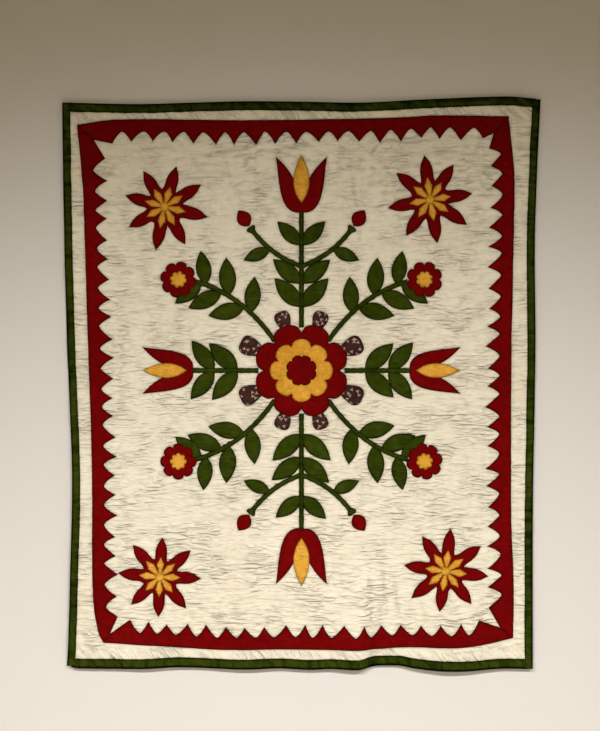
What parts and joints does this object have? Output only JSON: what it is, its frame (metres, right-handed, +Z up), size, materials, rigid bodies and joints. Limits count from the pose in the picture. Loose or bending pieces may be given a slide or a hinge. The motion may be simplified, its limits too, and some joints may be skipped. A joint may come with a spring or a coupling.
{
  "type": "applique crib quilt, hung on a wall",
  "caption": "Hung cotton quilt with a green binding, a red dogtooth border, corner star flowers and a floral medallion, rippled at the foot.",
  "frame": {"origin": "middle of the top edge, half way through the cloth, at the hanging mount", "axes": "+X to the right seen from the front, the front faces -Y, +Z up, so the cloth hangs down from z = 0"},
  "size_m": [1, 0.0195, 1.2001],
  "materials": {
    "cream_cotton": "quilted unbleached cotton, matt and crinkled",
    "green_cotton": "faded plain green cotton, matt",
    "red_cotton": "plain deep red cotton, matt",
    "gold_cotton": "gold cotton with a fine small print, matt",
    "brown_print": "dark brown cotton printed with small pale sprigs, matt"
  },
  "bodies": {
    "root": {"binding_foot": "green_cotton", "binding_left": "green_cotton", "binding_right": "green_cotton", "binding_top": "green_cotton", "border_foot": "red_cotton", "border_left": "red_cotton", "border_right": "red_cotton", "border_top": "red_cotton", "bud_lower_left": "red_cotton", "bud_lower_right": "red_cotton", "bud_upper_left": "red_cotton", "bud_upper_right": "red_cotton", "curved_sprig_lower_left": "green_cotton", "curved_sprig_lower_right": "green_cotton", "curved_sprig_upper_left": "green_cotton", "curved_sprig_upper_right": "green_cotton", "flower_foot_left": "red_cotton", "flower_foot_right": "red_cotton", "flower_top_left": "red_cotton", "flower_top_right": "red_cotton", "printed_petal_1": "brown_print", "printed_petal_2": "brown_print", "printed_petal_3": "brown_print", "printed_petal_4": "brown_print", "printed_petal_5": "brown_print", "printed_petal_6": "brown_print", "printed_petal_7": "brown_print", "printed_petal_8": "brown_print", "quilt_body": "cream_cotton", "rose_centre": "red_cotton", "rose_middle": "gold_cotton", "rose_outer": "red_cotton", "rosette_heart_lower_left": "gold_cotton", "rosette_heart_lower_right": "gold_cotton", "rosette_heart_upper_left": "gold_cotton", "rosette_heart_upper_right": "gold_cotton", "rosette_lower_left": "red_cotton", "rosette_lower_right": "red_cotton", "rosette_upper_left": "red_cotton", "rosette_upper_right": "red_cotton", "sprig_left": "green_cotton", "sprig_lower": "green_cotton", "sprig_right": "green_cotton", "sprig_upper": "green_cotton", "star_foot_left": "gold_cotton", "star_foot_right": "gold_cotton", "star_top_left": "gold_cotton", "star_top_right": "gold_cotton", "tulip_heart_left": "gold_cotton", "tulip_heart_lower": "gold_cotton", "tulip_heart_right": "gold_cotton", "tulip_heart_upper": "gold_cotton", "tulip_left": "red_cotton", "tulip_lower": "red_cotton", "tulip_right": "red_cotton", "tulip_upper": "red_cotton"}
  },
  "joints": []
}
